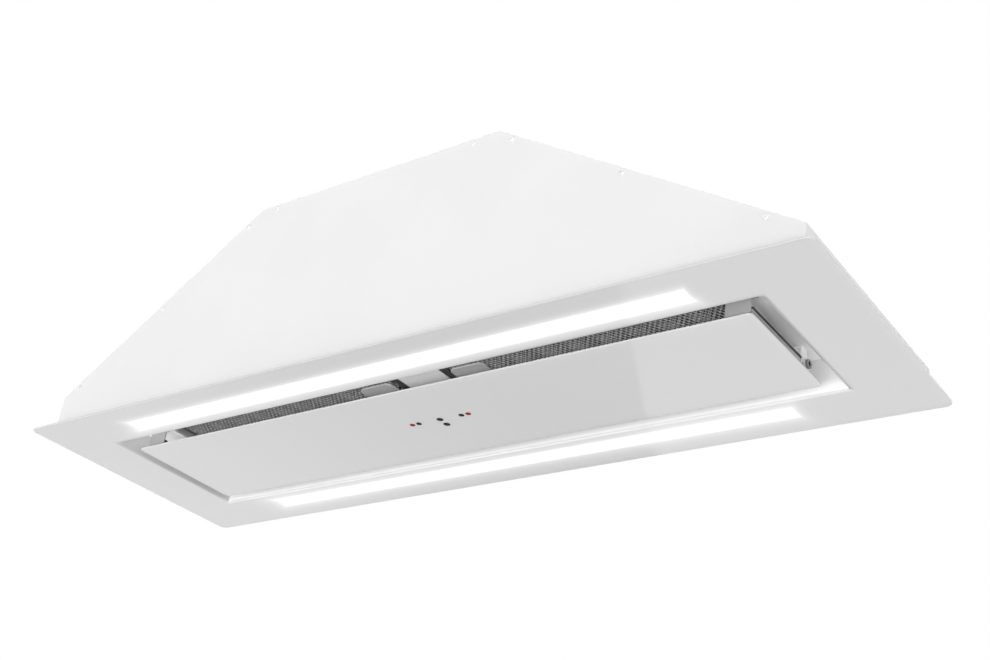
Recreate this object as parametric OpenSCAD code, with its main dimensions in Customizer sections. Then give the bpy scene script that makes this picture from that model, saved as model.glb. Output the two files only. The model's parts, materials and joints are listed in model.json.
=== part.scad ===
// Built-in range hood for a 900 mm wall cabinet: a white frame plate with two light strips,
// a drop-down panel, two grease filters, a tapered sheet housing, a blower and a
// duct collar with two non-return flaps. Z = 0 is the seat on the cabinet, the room side is -Y.

/* [Frame plate] */
// Distance by which the frame plate stands out past an end wall of the housing
frame_end = 14; // [10:0.5:24]
// Distance by which the frame plate stands out past the front and rear of the housing
frame_side = 20.5; // [14:0.5:30]
// Thickness of the frame plate
frame_t = 1.5; // [1:0.25:3]
// Corner radius of the frame plate
frame_corner_r = 8; // [4:0.5:14]
// Distance from an end of the suction opening to the end wall of the housing
opening_end = 55; // [46:0.5:66]
// Width of the suction opening
opening_w = 170; // [160:1:190]
// Corner radius of the suction opening
opening_corner_r = 2; // [0.5:0.5:6]
// Thickness of the base plate
base_t = 0.8; // [0.6:0.1:1.6]
// Thickness of the sealing strip
seal_t = 1; // [0.9:0.1:2]
// Distance of the sealing strip from the edge of the frame plate
seal_inset = 4; // [2:0.5:10]

/* [Housing] */
// Length of the housing, a running fit between the sides of a 900 mm cabinet
body_l = 862; // [800:1:868]
// Height of the housing above the seat
body_h = 215; // [212:0.5:250]
// Height of the left end wall
left_wall_h = 43.5; // [34:1:60]
// Height of the right end wall
right_wall_h = 25.5; // [20:1:40]
// Distance of the top's left corner from the centre
left_top_x = 180; // [170:1:220]
// Distance of the top's right corner from the centre
right_top_x = 124; // [118:1:160]
// Thickness of the housing and recess sheets
sheet_t = 1; // [0.6:0.1:1.5]
// Leg of the corner angles inside the housing
angle_leg = 12; // [9:0.5:16]
// Free length left at each end of a corner angle
angle_margin = 18; // [14:1:30]
// Distance from the end of a corner angle to its first screw
screw_in = 4; // [3:0.5:8]

/* [Fixing holes] */
// Radius of the cabinet fixing holes in the end walls
fixing_r = 2.5; // [2:0.25:3]
// Spacing of the two fixing holes in an end wall
fixing_spacing = 60; // [40:1:100]
// Height of the fixing holes above the seat
fixing_z = 12; // [9:0.5:14]
// Radius of the screwdriver holes in the recess end walls
access_r = 5; // [3:0.5:6]

/* [Recess and filter deck] */
// Height of the filter deck above the seat
deck_z = 23.5; // [22:0.5:28]
// Width of the divider between the two filters
divider_w = 48; // [44:1:60]
// Distance from the front of the opening to the filters
deck_front = 14; // [12:0.5:20]
// Distance from the filters to the hinge trough
deck_rear = 3; // [2:0.5:6]
// Distance of the trough wall behind the hinge axis
trough_back = 2; // [1.5:0.5:4]
// Free height left over the swinging edge of the panel
trough_clear = 1.2; // [0.8:0.2:4]

/* [Light strips] */
// Distance from an end of the suction opening to the end of a light strip
light_end = 48; // [40:1:90]
// Width of the visible light strip
light_w = 22; // [16:1:24]
// Distance from the suction opening to the light strip
light_gap = 12.8; // [9:0.2:16]
// Distance from the light strip to the face of the housing
light_margin = 5.7; // [4.7:0.1:12]
// Height of the light channel
channel_h = 11; // [8:0.5:14]
// Wall of the light channel
channel_wall = 1.2; // [0.8:0.1:1.6]
// Width of the edge by which a diffuser rests on the frame plate
diffuser_lip = 1; // [0.6:0.1:1.2]
// Clearance round a diffuser
diffuser_gap = 0.15; // [0.1:0.05:0.3]
// Width of a lamp board
board_w = 10; // [8:0.5:14]
// Thickness of a lamp board
board_t = 1.2; // [0.8:0.1:2]
// Distance between two lamps on a board
lamp_pitch = 20; // [12:1:40]

/* [Suction panel] */
// Gap between the suction panel and each end of the opening
gap_end = 17; // [10:0.5:26]
// Gap between the suction panel and each long edge of the opening
gap_side = 17.7; // [13:0.1:21]
// Corner radius of the suction panel
panel_corner_r = 5; // [2:0.5:10]
// Distance of the steel backing from the ends of the panel
backing_end = 5; // [4:0.5:8]
// Distance of the steel backing from the long edges of the panel
backing_side = 9.3; // [9.3:0.1:16]
// Thickness of the suction panel
panel_t = 1.5; // [1:0.1:3]
// Height of the steel backing
backing_h = 4.7; // [3:0.1:6]
// Sheet of the steel backing
backing_t = 1; // [0.6:0.1:1.5]
// Distance by which the panel hangs lower than the frame plate
panel_low = 2.2; // [0:0.1:3]

/* [Panel arms and hinge] */
// Width of the foot of a panel arm
arm_w = 20; // [16:0.5:22]
// Height of a panel arm above the backing
arm_h = 7.5; // [6.5:0.25:9]
// Thickness of the upright of a panel arm
arm_t = 1.5; // [1:0.1:2]
// Width of the bead along the top of a panel arm
arm_bead = 1; // [0.6:0.1:1.4]
// Distance from the hinge axis to the step in the arm
arm_step = 11; // [10:0.5:14]
// Height of the low part of the arm beside the ear
arm_low_h = 2; // [1.5:0.25:3]
// Distance from the hinge axis to the rear edge of the panel
pivot_inset = 21.3; // [20:0.1:26]
// Height of the hinge axis above the seat
pivot_z = 7; // [7:0.1:8.5]
// Radius of the ear round the hinge axis
ear_r = 5.4; // [4.5:0.1:5.4]
// Radius of the hinge pin
pin_r = 2; // [1.5:0.1:2.5]
// Running clearance of the hinge pin and the shafts
run_clear = 0.05; // [0.02:0.01:0.08]
// Thickness of the fixed hinge bracket
bracket_t = 2; // [1.5:0.1:3]
// Gap between the arm and the fixed hinge bracket
bracket_gap = 1; // [0.5:0.1:1.5]
// Width of the foot of the fixed hinge bracket
bracket_foot = 10; // [7:0.5:10]
// Radius of the hinge pin's head
pin_head_r = 4.2; // [3:0.1:5]
// Thickness of the hinge pin's head
pin_head_t = 2; // [1.5:0.1:2.5]
// Radius of the nut on the hinge pin, over its corners
nut_r = 3.4; // [3:0.1:4]
// Length of each arm of the cross recess in the pin's head
cross_l = 5; // [4:0.1:6]
// Width of each arm of the cross recess in the pin's head
cross_w = 1.3; // [1:0.1:1.6]

/* [Catches] */
// Width of a catch post
post_w = 23; // [20:0.5:24]
// Distance of a catch post from the front edge of the panel
post_y = 7.3; // [6.5:0.1:8.5]
// Thickness of a catch post
post_t = 1.2; // [0.8:0.1:1.5]
// Length of the foot of a catch post
post_foot = 12; // [8:0.5:16]
// Depth of a catch magnet
magnet_d = 8; // [6:0.5:10]
// Length of a catch magnet
magnet_l = 14; // [10:0.5:16]
// Height of a catch magnet
magnet_h = 5.5; // [4:0.5:8]
// Gap between the magnet and the arm
magnet_gap = 0.4; // [0.3:0.1:0.8]

/* [Touch control] */
// Place of the touch control along the panel
touch_x = 0; // [-10:0.5:10]
// Place of the touch control across the panel
touch_y = -4.5; // [-8:0.5:4]
// Radius of the small touch marks
mark_r = 2.8; // [2:0.1:3]
// Radius of the large touch marks
big_mark_r = 3.4; // [2.6:0.1:4]
// Distance from the centre to the dark marks
mark_near = 25.7; // [20:0.1:28]
// Distance between a dark mark and its red mark
mark_step = 8.1; // [7:0.1:10]
// Distance between the two large marks
mark_rise = 11.1; // [9:0.1:14]
// Thickness of the printed touch marks
mark_t = 0.2; // [0.1:0.05:0.4]
// Length of the touch control box
touch_l = 110; // [96:1:140]
// Width of the touch control box
touch_w = 46; // [40:1:50]
// Height of the touch control box
touch_h = 9; // [7:0.5:11]

/* [Grease filters] */
// Distance from the outer end of a filter to the end of the suction opening
filter_end = 39; // [34:1:60]
// Thickness of a filter
filter_t = 9; // [8:0.5:12]
// Clearance round a filter in the deck
filter_gap = 1; // [0.6:0.1:1.5]
// Width of the filter frame beside the divider
bar_in = 8.2; // [7:0.2:10]
// Width of the filter frame at the outer end
bar_out = 14; // [10:0.5:16]
// Width of the filter frame along its long sides
bar_side = 7; // [5:0.5:9]
// Depth of the mesh below the faces of the frame
mesh_inset = 1; // [0.5:0.1:1.5]
// Length of the tongues at the outer end of a filter
tongue_l = 9; // [6:0.5:12]
// Width of the tongues at the outer end of a filter
tongue_w = 18; // [12:1:24]
// Thickness of the tongues and the latch bolt
tongue_t = 1.6; // [1:0.1:2]

/* [Filter latches] */
// Width of the latch handle along the filter
latch_l = 38.5; // [32:0.5:44]
// Width of the latch handle across the filter
latch_w = 64; // [56:1:76]
// Distance from the filter's inner bar to the latch handle
latch_in = 2.8; // [0.5:0.1:4]
// Corner radius of the latch handle
latch_corner_r = 6; // [3:0.5:9]
// Thickness of the latch handle
latch_t = 2; // [1.5:0.1:2.2]
// Travel of the latch
latch_travel = 6; // [4:0.25:7]
// Clearance of the latch in the filter
latch_gap = 0.3; // [0.2:0.05:0.4]
// Width of the latch bolt
bolt_w = 24; // [16:1:30]
// Reach of the latch bolt over the divider
bolt_reach = 3; // [2:0.25:3.5]
// Height of the grip under the latch handle
grip_h = 3.6; // [3:0.1:5]
// Length of the grip under the latch handle
grip_l = 30; // [24:1:36]
// Thickness of the grip
grip_t = 3; // [2:0.5:4]
// Distance of the grip from the handle's inner edge
grip_in = 22; // [12:1:26]
// Thickness of the stem between the handle and the bolt
stem_t = 3; // [2:0.5:4]

/* [Blower] */
// Gap between the blower and the trough
blower_gap = 3.4; // [2:0.2:8]
// Height of the blower's neck above its tongue
neck_h = 19; // [14:0.5:26]
// Width of the impeller
impeller_w = 100; // [90:1:106]
// Number of blades on each side of the impeller
blade_count = 30; // [18:1:36]
// Radial depth of the blades
blade_d = 9; // [7:0.5:10]
// Thickness of the blades
blade_t = 1.2; // [0.8:0.1:1.6]
// Thickness of the impeller's disc and end rings
disc_t = 2; // [1.5:0.1:3]
// Radius of the impeller's hub
hub_r = 12; // [10:0.5:16]
// Length of the impeller's hub
hub_l = 24; // [18:1:36]
// Gap between the impeller and the tongue of the scroll
tongue_gap = 6; // [4:0.5:8]
// Growth of the scroll's radius from its tongue to its outlet
scroll_grow = 32; // [24:0.5:36]
// Angle of the scroll's tongue
tongue_a = 100; // [96:1:108]
// Inner width of the blower
blower_w = 116; // [112:1:124]
// Thickness of the blower's sheets
blower_t = 1.2; // [0.8:0.1:1.6]
// Distance from the rim of an air inlet to the rim of the impeller
eye_inset = 10; // [8:0.5:16]
// Depth of the inlet rings
inlet_d = 4; // [3:0.5:5]
// Leg of the blower hangers
hanger_leg = 14; // [12:0.5:18]
// Width of the blower hangers
hanger_w = 80; // [60:1:96]

/* [Motor] */
// Radius of the motor
motor_r = 41; // [36:0.5:43]
// Length of the motor
motor_l = 44; // [36:1:52]
// Distance of the motor from the blower
motor_gap = 6; // [4:0.5:8]
// Radius of the motor shaft
shaft_r = 4; // [3:0.25:5]
// Outer radius of the motor bearings
bearing_r = 9; // [8:0.5:11]
// Width of the motor bearings
bearing_w = 6; // [5:0.5:8]
// Thickness of the motor bracket
spider_t = 3; // [2:0.5:4]
// Width of the motor bracket's arms
spider_w = 12; // [10:0.5:16]

/* [Duct collar] */
// Outer radius of the duct collar
duct_r = 75; // [74:0.25:78]
// Wall of the duct collar
duct_wall = 1.6; // [1.2:0.1:2]
// Height of the duct collar above the housing
duct_h = 40; // [32:1:46]
// Width of the collar's base flange
duct_flange = 13; // [11:0.5:16]
// Thickness of the collar's base flange
duct_flange_t = 2; // [1.5:0.5:3]
// Height of the flap seat above the housing
seat_h = 8; // [6:0.5:10]
// Width of the flap seat
seat_w = 3.4; // [2.5:0.1:4]
// Thickness of the flap seat
seat_t = 1.5; // [1:0.1:2]
// Thickness of a flap
flap_t = 1.2; // [0.8:0.1:1.6]
// Clearance of the flaps in the collar
flap_gap = 1.2; // [0.8:0.1:1.6]
// Radius of the flap pin
flap_pin_r = 1.5; // [1.2:0.1:1.8]
// Outer radius of the flap knuckles
knuckle_r = 2.8; // [2.6:0.1:3.2]
// Length of a flap knuckle
knuckle_l = 16; // [10:1:20]

/* [Electrics] */
// Length of the control box
control_l = 104; // [90:1:120]
// Depth of the control box
control_d = 40; // [34:1:44]
// Height of the control box
control_h = 48; // [40:1:50]
// Height of the control box above the seat
control_z = 40; // [37:1:44]
// Distance from the housing's left end to the control box
control_end = 101; // [91:1:111]
// Thickness of the control box's lid
lid_t = 2; // [1.5:0.5:3]
// Length of the lamp driver
supply_l = 90; // [70:1:100]
// Depth of the lamp driver
supply_d = 28; // [24:1:34]
// Height of the lamp driver
supply_h = 22; // [18:1:28]
// Length of the lamp driver's fixing ears
supply_ear = 10; // [6:1:14]
// Distance of the lamp driver's left end from the centre
supply_x = 196; // [180:1:210]
// Radius of the run capacitor
capacitor_r = 15; // [12:0.5:17]
// Length of the run capacitor
capacitor_l = 62; // [50:1:70]
// Height of the run capacitor's axis above the seat
capacitor_z = 62; // [58:1:72]
// Radius of the cable gland's bore
gland_bore_r = 4.5; // [3.5:0.25:5]
// Radius of the cable gland's thread
gland_r = 8; // [7:0.5:9]
// Place of the cable gland along the housing
gland_x = -140; // [-148:1:-124]
// Place of the cable gland across the housing
gland_y = 62; // [50:1:80]
// Height of the gland's cap
gland_h = 16; // [12:1:20]

/* [Fasteners] */
// Radius of the sheet screws
screw_r = 1.9; // [1.5:0.1:2.2]
// Radius of the screw heads
screw_head_r = 2.9; // [2.6:0.1:4]
// Height of the screw heads
screw_head_h = 1.3; // [1.1:0.1:2.5]
// Length of the sheet screws
screw_l = 8; // [6:0.5:10]
// Distance of the housing screws from the edge
screw_edge = 4.9; // [4.6:0.1:6]
// Clearance of a screw in its hole
screw_clear = 0.15; // [0.1:0.05:0.3]

/* [Hidden] */
$fn = 64;
opening_l = body_l - 2 * opening_end;
body_w = opening_w + 2 * (light_gap + light_w + light_margin);
frame_l = body_l + 2 * frame_end;
frame_w = body_w + 2 * frame_side;
light_l = opening_l - 2 * light_end;
panel_l = opening_l - 2 * gap_end;
panel_w = opening_w - 2 * gap_side;
pivot_y = panel_w / 2 - pivot_inset;
filter_l = (opening_l - divider_w) / 2 - filter_gap - filter_end;
base_z = -seal_t;
base_top = base_z + base_t;
frame_z = base_z - frame_t;
panel_z = frame_z - panel_low;
panel_top = panel_z + panel_t;
recess_x = opening_l / 2;
recess_y = opening_w / 2;
body_y = body_w / 2;
inner_y = body_y - sheet_t;
inner_h = body_h - sheet_t;
deck_top = deck_z + sheet_t;
trough_y = pivot_y + trough_back;
swing_r = norm([panel_w / 2 - pivot_y, pivot_z - panel_z]);
trough_z = max(pivot_z + swing_r + trough_clear, deck_z + 4);
light_y = recess_y + light_gap + light_w / 2;
control_x = body_l / 2 - control_end - control_l;
channel_w = light_w + 2 * diffuser_lip + 2 * diffuser_gap + 2 * channel_wall;
arm_face = panel_l / 2 - backing_end;
arm_front = -panel_w / 2 + post_y + post_t + 1.3;
arm_base = panel_top + backing_h;
bracket_x = arm_face - arm_t - bracket_gap;
filter_front = -recess_y + deck_front + filter_gap;
filter_back = trough_y - deck_rear - filter_gap;
filter_y = (filter_front + filter_back) / 2;
filter_x = divider_w / 2 + filter_gap;
latch_x = filter_x + bar_in + latch_in;
handle_z = deck_z - latch_gap - latch_t;
stem_x = latch_x + stem_t;
bolt_z = deck_top + latch_gap;
turn = 360 - tongue_a;
blower_room = inner_h - trough_z - sheet_t - blower_gap - neck_h;
lowest_grow = scroll_grow * (270 - tongue_a) / turn;
scroll_start = (blower_room - blower_t - lowest_grow) / (1 + sin(tongue_a));
scroll_r = scroll_start + scroll_grow;
impeller_r = scroll_start - tongue_gap;
eye_r = impeller_r - eye_inset;
neck_top = neck_h + scroll_start * sin(tongue_a);
blower_z = inner_h - neck_top;
neck_left = scroll_start * cos(tongue_a);
blower_x = -(scroll_r + neck_left) / 2;
spiral_step = 10;
plate_y = blower_w / 2;
motor_y = plate_y + blower_t + motor_gap;
motor_end = motor_y + motor_l;
shaft_start = -hub_l / 2 - 4;
bore_r = duct_r - duct_wall;
flap_z = body_h + seat_h + seat_t + 0.3;
flap_pin_z = flap_z + knuckle_r + 0.1;
flap_r = bore_r - flap_gap;
blade_a = 32;
mark_places = [[-mark_near, 0, mark_r], [mark_near, 0, mark_r],
               [0, 0, big_mark_r], [0, mark_rise, big_mark_r]];
red_places = [[-mark_near - mark_step, 0, mark_r], [mark_near + mark_step, 0, mark_r]];

// Outline of the housing seen from the room, from the bottom left corner over the top
skin = [[-body_l / 2, base_top], [-body_l / 2, left_wall_h], [-left_top_x, body_h],
        [right_top_x, body_h], [body_l / 2, right_wall_h], [body_l / 2, base_top]];
// Places of the housing screws along each edge, as shares of the way between its end screws
edge_screws = [[], [0, 0.5, 1], [0, 0.49, 0.97], [0, 0.455, 0.955], []];

function unit(v) = v / norm(v);
// Inward normal of the edge that starts at corner i
function edge_n(i) = let (d = unit(skin[i + 1] - skin[i])) [d[1], -d[0]];
// Inner corner of the skin, where two mitred sheets meet
function inner_corner(i, t) =
    i == 0 ? skin[0] + [t, 0] :
    i == 5 ? skin[5] - [t, 0] :
    let (a = edge_n(i - 1), b = edge_n(i)) skin[i] + t * (a + b) / (1 + a * b);
// Radius of the scroll's inner face at an angle round the blower's axis
function spiral_r(a) = scroll_start + scroll_grow * (a - tongue_a) / turn;
function polar(r, a) = [r * cos(a), r * sin(a)];

// Flat shape with round corners
module rounded_rect(l, w, r) {
    square([l - 2 * r, w], center = true);
    square([l, w - 2 * r], center = true);
    for (x = [-1, 1], y = [-1, 1]) translate([x * (l / 2 - r), y * (w / 2 - r)]) circle(r);
}

// Box given by its lowest and highest corners
module block(a, b) {
    translate(a) cube(b - a);
}

// Flat shape drawn in X and Z, thick along Y from y0 to y1
module along_y(y0, y1) {
    translate([0, y1, 0]) rotate([90, 0, 0]) linear_extrude(y1 - y0) children();
}

// Flat shape drawn in Y and Z, thick along X from x0 to x1
module along_x(x0, x1) {
    translate([x0, 0, 0]) rotate([90, 0, 90]) linear_extrude(x1 - x0) children();
}

// Pan head screw with its tip pointing along +Z and its head below Z = 0
module pan_screw(l) {
    difference() {
        union() {
            translate([0, 0, -screw_head_h / 2]) cylinder(r = screw_head_r, h = screw_head_h / 2);
            translate([0, 0, -screw_head_h])
                cylinder(r1 = screw_head_r * 0.72, r2 = screw_head_r, h = screw_head_h / 2);
            cylinder(r = screw_r, h = l - 2);
            translate([0, 0, l - 2]) cylinder(r1 = screw_r, r2 = screw_r * 0.4, h = 2);
        }
        for (a = [0, 90]) rotate([0, 0, a])
            translate([-screw_head_r * 0.55, -0.4, -screw_head_h - 1])
                cube([screw_head_r * 1.1, 0.8, 1.9]);
    }
}

// Child placed on every screw place of the front, with +Z pointing into the housing
module on_front_screws() {
    for (i = [1, 2, 3], s = edge_screws[i]) {
        d = skin[i + 1] - skin[i];
        first = angle_margin + screw_in;
        p = skin[i] + (first + s * (norm(d) - 2 * first)) * unit(d) + screw_edge * edge_n(i);
        translate([p[0], -body_y, p[1]]) rotate([-90, 0, 0]) children();
    }
}

module screw_holes() {
    translate([0, 0, -1]) cylinder(r = screw_r + screw_clear, h = screw_l + 2);
}

// White plate with the suction opening and the two light slots
module frame_plate() {
    color("white") translate([0, 0, frame_z]) linear_extrude(frame_t) difference() {
        rounded_rect(frame_l, frame_w, frame_corner_r);
        rounded_rect(opening_l, opening_w, opening_corner_r);
        for (s = [-1, 1]) translate([0, s * light_y]) square([light_l, light_w], center = true);
    }
}

// Foam strip round the housing that seats against the underside of the cabinet
module sealing_strip() {
    color("dimgray") translate([0, 0, base_z]) linear_extrude(seal_t) difference() {
        rounded_rect(frame_l - 2 * seal_inset, frame_w - 2 * seal_inset, frame_corner_r);
        square([body_l, body_w], center = true);
    }
}

// Steel plate under the housing, with the recess hole and the two light slots
module base_plate() {
    slot = 2 * diffuser_lip + 2 * diffuser_gap;
    color("gainsboro") translate([0, 0, base_z]) linear_extrude(base_t) difference() {
        square([body_l, body_w], center = true);
        square([opening_l + 2 * sheet_t, opening_w + 2 * sheet_t], center = true);
        for (s = [-1, 1]) translate([0, s * light_y])
            square([light_l + slot, light_w + slot], center = true);
    }
}

module recess_front_wall() {
    color("whitesmoke") block([-recess_x - sheet_t, -recess_y - sheet_t, base_z],
                              [recess_x + sheet_t, -recess_y, deck_top]);
}

module recess_rear_wall() {
    color("whitesmoke") block([-recess_x - sheet_t, recess_y, base_z],
                              [recess_x + sheet_t, recess_y + sheet_t, trough_z + sheet_t]);
}

// End wall of the recess at the side s, with two screwdriver holes
module recess_end_wall(s) {
    x = s > 0 ? recess_x : -recess_x - sheet_t;
    color("whitesmoke") difference() {
        along_x(x, x + sheet_t) polygon([[-recess_y, base_z], [recess_y, base_z],
            [recess_y, trough_z + sheet_t], [trough_y, trough_z + sheet_t], [trough_y, deck_top],
            [-recess_y, deck_top]]);
        for (y = [-1, 1]) translate([x - 1, y * fixing_spacing / 2, fixing_z])
            rotate([0, 90, 0]) cylinder(r = access_r, h = sheet_t + 2);
    }
}

// Ceiling of the recess, with an opening for each filter
module filter_deck() {
    hole_l = filter_l + 2 * filter_gap;
    hole_w = filter_back - filter_front + 2 * filter_gap;
    color("whitesmoke") translate([0, 0, deck_z]) linear_extrude(sheet_t) difference() {
        translate([-recess_x, -recess_y]) square([opening_l, trough_y + recess_y]);
        for (s = [-1, 1]) translate([s * (divider_w + hole_l) / 2, filter_y])
            square([hole_l, hole_w], center = true);
    }
}

// Raised channel behind the filters, where the panel's rear edge swings up
module hinge_trough() {
    color("whitesmoke") along_x(-recess_x, recess_x) polygon([[trough_y, deck_z],
        [trough_y + sheet_t, deck_z], [trough_y + sheet_t, trough_z], [recess_y, trough_z],
        [recess_y, trough_z + sheet_t],
        [trough_y, trough_z + sheet_t]]);
}

module front_panel() {
    color("white") difference() {
        along_y(-body_y, -inner_y)
            polygon(skin);
        on_front_screws() screw_holes();
    }
}

module rear_panel() {
    color("white") mirror([0, 1, 0]) front_panel();
}

// Sheet of the skin between two corners, with mitred edges
module skin_sheet(i) {
    along_y(-inner_y, inner_y)
        polygon([skin[i], skin[i + 1], inner_corner(i + 1, sheet_t), inner_corner(i, sheet_t)]);
}

// End wall with the two holes for the cabinet screws
module end_wall(i, s) {
    color("white") difference() {
        skin_sheet(i);
        for (y = [-1, 1]) translate([s * (body_l / 2 + 1), y * fixing_spacing / 2, fixing_z])
            rotate([0, -90 * s, 0]) cylinder(r = fixing_r, h = sheet_t + 2);
    }
}

module left_end_wall() {
    end_wall(0, -1);
}

module right_end_wall() {
    end_wall(4, 1);
}

module left_slope_panel() {
    color("white") skin_sheet(1);
}

module right_slope_panel() {
    color("white") skin_sheet(3);
}

// Places of the screws that hold the collar's flange
module on_collar_screws() {
    for (a = [60, 120, 240, 300]) rotate([0, 0, a])
        translate([duct_r + duct_flange / 2, 0, body_h + duct_flange_t]) rotate([180, 0, 0]) children();
}

// Places of the screws that hold the blower hangers
module on_hanger_screws() {
    for (x = [-1, 1], y = [-1, 1])
        translate([x * (neck_half() + blower_t + hanger_leg / 2), y * hanger_w / 4, body_h])
            rotate([180, 0, 0]) children();
}

function neck_half() = (scroll_r - neck_left) / 2;

module top_panel() {
    color("white") difference() {
        skin_sheet(2);
        translate([0, 0, inner_h - 1]) linear_extrude(sheet_t + 2) intersection() {
            circle(bore_r, $fn = 96);
            square([2 * neck_half(), blower_w], center = true);
        }
        translate([gland_x, gland_y, inner_h - 1]) cylinder(r = gland_r + screw_clear, h = sheet_t + 2);
        on_collar_screws() screw_holes();
        on_hanger_screws() screw_holes();
    }
}

// Steel angle along the inside of the front edge that starts at corner i
module front_angle(i) {
    d = skin[i + 1] - skin[i];
    l = norm(d);
    translate([skin[i][0], 0, skin[i][1]]) rotate([0, -atan2(d[1], d[0]), 0])
        along_x(angle_margin, l - angle_margin) polygon([[-inner_y, -sheet_t],
            [-inner_y + angle_leg, -sheet_t], [-inner_y + angle_leg, -2 * sheet_t],
            [-inner_y + sheet_t, -2 * sheet_t], [-inner_y + sheet_t, -sheet_t - angle_leg],
            [-inner_y, -sheet_t - angle_leg]]);
}

module corner_angles() {
    color("silver") for (m = [0, 1]) mirror([0, m, 0]) difference() {
        union() for (i = [1, 2, 3]) front_angle(i);
        on_front_screws() screw_holes();
    }
}

module housing_screws() {
    color("silver") {
        for (m = [0, 1]) mirror([0, m, 0]) on_front_screws() pan_screw(screw_l);
        on_collar_screws() pan_screw(screw_l);
        on_hanger_screws() pan_screw(screw_l);
    }
}

// Aluminium channel over the light slot, on the side s
module light_channel(s) {
    x = light_l / 2 + diffuser_lip + diffuser_gap;
    w = channel_w / 2;
    color("silver") translate([0, s * light_y, 0]) difference() {
        block([-x, -w, base_top], [x, w, channel_h]);
        block([-x - 1, -w + channel_wall, -1], [x + 1, w - channel_wall, channel_h - channel_wall]);
    }
}

// Board with a row of lamps, under the top of the light channel
module lamp_board(s) {
    top = channel_h - channel_wall;
    x = light_l / 2 - 4;
    count = floor((2 * x - 10) / lamp_pitch);
    color("ivory") translate([0, s * light_y, 0]) {
        block([-x, -board_w / 2, top - board_t], [x, board_w / 2, top]);
        for (i = [0:count]) translate([(i - count / 2) * lamp_pitch, 0, top - board_t - 0.4])
            cube([3.5, 2.8, 0.8], center = true);
    }
}

// Opal bar that fills the light slot flush with the frame plate and rests on it by a lip
module diffuser(s) {
    color("aliceblue") translate([0, s * light_y, 0]) {
        translate([0, 0, frame_z]) linear_extrude(frame_t + base_t)
            square([light_l - 2 * diffuser_gap, light_w - 2 * diffuser_gap], center = true);
        translate([0, 0, base_z]) linear_extrude(base_t)
            square([light_l + 2 * diffuser_lip, light_w + 2 * diffuser_lip], center = true);
    }
}

module suction_panel() {
    color("white") translate([0, 0, panel_z]) linear_extrude(panel_t)
        rounded_rect(panel_l, panel_w, panel_corner_r);
}

// Shallow steel tray whose rim stands on the back of the panel
module panel_backing() {
    y = panel_w / 2 - backing_side;
    color("lightgray") difference() {
        block([-arm_face, -y, panel_top], [arm_face, y, arm_base]);
        block([-arm_face + backing_t, -y + backing_t, panel_top - 1],
              [arm_face - backing_t, y - backing_t, arm_base - backing_t]);
    }
}

// Steel arm on the right end of the panel: a foot, an upright with a bead, and the hinge ear
module arm() {
    step = pivot_y - arm_step;
    color("lightgray") {
        block([arm_face - arm_w, arm_front, arm_base], [arm_face - arm_t, step, arm_base + arm_t]);
        block([arm_face - arm_t, arm_front, arm_base + arm_h - 1],
              [arm_face + arm_bead, step, arm_base + arm_h]);
        difference() {
            along_x(arm_face - arm_t, arm_face) {
                translate([arm_front, arm_base]) square([step - arm_front, arm_h]);
                translate([step - 1, arm_base]) square([arm_step + 1, arm_low_h]);
                translate([pivot_y - ear_r, arm_base]) square([2 * ear_r, pivot_z - arm_base]);
                translate([pivot_y, pivot_z]) circle(ear_r);
            }
            translate([arm_face - arm_t - 1, pivot_y, pivot_z]) rotate([0, 90, 0])
                cylinder(r = pin_r + run_clear, h = arm_t + 2);
        }
    }
}

// Fixed bracket that hangs from the deck beside the right arm and holds the hinge pin
module hinge_bracket() {
    half = ear_r - 0.5;
    color("silver") {
        block([bracket_x - bracket_t - bracket_foot, pivot_y - half, deck_z - bracket_t],
              [bracket_x - bracket_t, pivot_y + half, deck_z]);
        difference() {
            along_x(bracket_x - bracket_t, bracket_x) {
                translate([pivot_y - half, pivot_z]) square([2 * half, deck_z - pivot_z]);
                translate([pivot_y, pivot_z]) circle(half);
            }
            translate([bracket_x - bracket_t - 1, pivot_y, pivot_z]) rotate([0, 90, 0])
                cylinder(r = pin_r + run_clear, h = bracket_t + 2);
        }
    }
}

// Shoulder screw through the right ear and its bracket, with a cross recess in its head and a nut
module hinge_pin() {
    nut_t = 1.8;
    nut_x = bracket_x - bracket_t - nut_t - 0.1;
    color("dimgray") translate([0, pivot_y, pivot_z]) rotate([0, 90, 0]) {
        difference() {
            translate([0, 0, arm_face + 0.3]) cylinder(r = pin_head_r, h = pin_head_t);
            for (turn = [0, 90]) rotate([0, 0, turn])
                translate([-cross_l / 2, -cross_w / 2, arm_face + 0.3 + pin_head_t / 2])
                    cube([cross_l, cross_w, pin_head_t]);
        }
        translate([0, 0, nut_x - 0.5]) cylinder(r = pin_r, h = arm_face + 0.4 - nut_x + 0.5);
        translate([0, 0, nut_x]) cylinder(r = nut_r, h = nut_t, $fn = 6);
    }
}

module hinge_pins() {
    for (m = [0, 1]) mirror([m, 0, 0]) hinge_pin();
}

// Steel posts that hang from the deck in front of the arms and carry the magnets
module catch_posts() {
    y = -panel_w / 2 + post_y;
    color("lightgray") for (m = [0, 1]) mirror([m, 0, 0]) {
        block([arm_face - post_w, y, arm_base + arm_t - 1], [arm_face, y + post_t, deck_z]);
        block([arm_face - post_foot, y + post_t, deck_z - post_t],
              [arm_face, y + post_t + post_foot, deck_z]);
    }
}

module catch_magnets() {
    y = -panel_w / 2 + post_y + post_t;
    z = arm_base + arm_t + magnet_gap;
    x = arm_face - arm_t - 2;
    color("dimgray") for (m = [0, 1]) mirror([m, 0, 0])
        block([x - magnet_l, y, z], [x, y + magnet_d, z + magnet_h]);
}

module touch_control() {
    color("dimgray") translate([touch_x, touch_y + mark_rise / 2, arm_base])
        linear_extrude(touch_h) rounded_rect(touch_l, touch_w, 3);
}

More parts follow.
